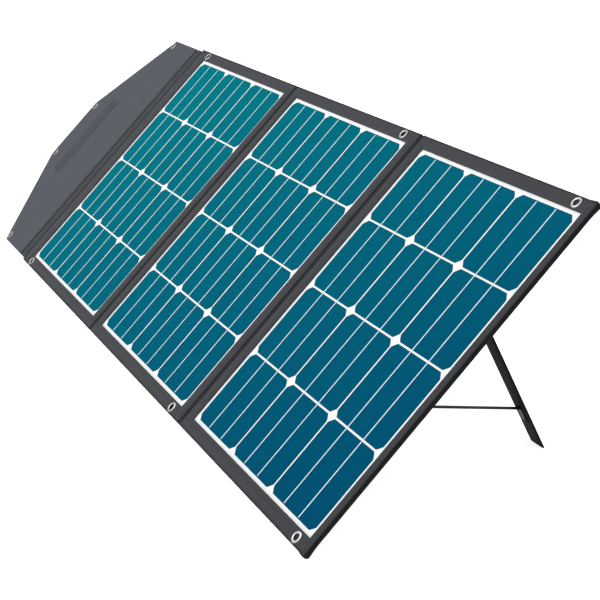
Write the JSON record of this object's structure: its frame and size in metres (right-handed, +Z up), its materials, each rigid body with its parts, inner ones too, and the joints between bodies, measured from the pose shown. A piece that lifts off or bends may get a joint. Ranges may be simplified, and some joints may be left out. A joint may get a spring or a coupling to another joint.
{
  "type": "folding solar panel",
  "caption": "Folding fabric solar panel: three cell fields and a cover flap that roll up into a case, on two fold-out legs, with grommets.",
  "frame": {"origin": "middle of the bounding box, on the ground", "axes": "+X along the unfolded width, the flap at -X; +Z up; the lit side faces -Y and up"},
  "size_m": [1.61, 0.447, 0.3996],
  "materials": {
    "cover_fabric": "woven dark grey polyester, slightly coated",
    "flap_fabric": "woven grey polyester, a little lighter than the covers",
    "binding_tape": "near-black woven binding tape",
    "foam": "closed-cell foam, matt",
    "board": "stiff plastic board",
    "backsheet": "white laminate backsheet, satin",
    "silicon": "teal to deep blue monocrystalline silicon under film",
    "ribbon": "tinned solder ribbon, satin",
    "clear_film": "clear glossy film",
    "grommet_metal": "nickel-plated, worn satin",
    "leg_fabric": "black coated fabric",
    "leg_core": "stiff fibre board",
    "webbing": "black webbing with a ribbed weave",
    "hook_and_loop": "black hook-and-loop tape",
    "junction_plastic": "black moulded plastic, finely textured",
    "circuit_board": "green circuit board",
    "diode_body": "black moulded diode bodies"
  },
  "bodies": {
    "left_field": {"left_back_cover": "cover_fabric", "left_front_cover": "cover_fabric", "left_edge_binding": "binding_tape", "left_foam_rim": "foam", "left_board": "board", "left_backsheet": "backsheet", "left_cells": "silicon", "left_ribbons": "ribbon", "left_front_film": "clear_film", "left_grommets": "grommet_metal", "left_back_strap_patch": "webbing", "left_leg_hinge_tab": "leg_fabric", "left_leg_strap": "webbing", "left_middle_hinge_strip": "cover_fabric", "spine_hinge_strip": "flap_fabric"},
    "middle_field": {"middle_back_cover": "cover_fabric", "middle_front_cover": "cover_fabric", "middle_edge_binding": "binding_tape", "middle_foam_rim": "foam", "middle_board": "board", "middle_backsheet": "backsheet", "middle_cells": "silicon", "middle_ribbons": "ribbon", "middle_front_film": "clear_film", "middle_grommets": "grommet_metal", "closure_loop_patch": "hook_and_loop", "junction_base": "junction_plastic", "junction_lid": "junction_plastic", "junction_gland": "junction_plastic", "diode_board": "circuit_board", "bypass_diodes": "diode_body", "middle_right_hinge_strip": "cover_fabric"},
    "right_field": {"right_back_cover": "cover_fabric", "right_front_cover": "cover_fabric", "right_edge_binding": "binding_tape", "right_foam_rim": "foam", "right_board": "board", "right_backsheet": "backsheet", "right_cells": "silicon", "right_ribbons": "ribbon", "right_front_film": "clear_film", "right_grommets": "grommet_metal", "right_back_strap_patch": "webbing", "right_leg_hinge_tab": "leg_fabric", "right_leg_strap": "webbing"},
    "spine": {"flap_spine": "flap_fabric", "carry_handle": "webbing", "flap_hinge_strip": "flap_fabric"},
    "flap": {"flap_back_cover": "flap_fabric", "flap_front_cover": "flap_fabric", "flap_stiffener": "foam", "flap_grommets": "grommet_metal", "closure_hook_patch": "hook_and_loop"},
    "left_leg": {"left_leg_sleeve": "leg_fabric", "left_leg_core": "leg_core", "left_leg_strap_patch": "webbing"},
    "right_leg": {"right_leg_sleeve": "leg_fabric", "right_leg_core": "leg_core", "right_leg_strap_patch": "webbing"}
  },
  "joints": [
    {"name": "left_middle_fold", "type": "hinge", "parent": "left_field", "child": "middle_field", "pos_m": [-0.0665, -0.23017, 0.01177], "axis": [0, -0.7133, -0.7009], "range_deg": [0, 179.9], "deforming": ["left_middle_hinge_strip"]},
    {"name": "middle_right_fold", "type": "hinge", "parent": "middle_field", "child": "right_field", "pos_m": [0.3745, -0.22457, 0.00606], "axis": [0, -0.7133, -0.7009], "range_deg": [0, 179.9], "deforming": ["middle_right_hinge_strip"]},
    {"name": "spine_fold", "type": "hinge", "parent": "left_field", "child": "spine", "pos_m": [-0.5225, -0.22282, 0.00428], "axis": [0, 0.7133, 0.7009], "range_deg": [0, 90], "deforming": ["spine_hinge_strip"]},
    {"name": "flap_fold", "type": "hinge", "parent": "spine", "child": "flap", "pos_m": [-0.5515, -0.22282, 0.00428], "axis": [0, 0.7133, 0.7009], "range_deg": [0, 90], "deforming": ["flap_hinge_strip"]},
    {"name": "left_leg_fold", "type": "hinge", "parent": "left_field", "child": "left_leg", "pos_m": [-0.342, 0.07476, 0.28142], "axis": [-1, 0, 0], "range_deg": [0, 73], "deforming": ["left_leg_strap", "left_leg_hinge_tab"]},
    {"name": "right_leg_fold", "type": "hinge", "parent": "right_field", "child": "right_leg", "pos_m": [0.65, 0.07476, 0.28142], "axis": [-1, 0, 0], "range_deg": [0, 73], "deforming": ["right_leg_strap", "right_leg_hinge_tab"]}
  ],
  "couplings": [
    {"joint": "flap_fold", "follows": "spine_fold", "ratio": 1}
  ]
}
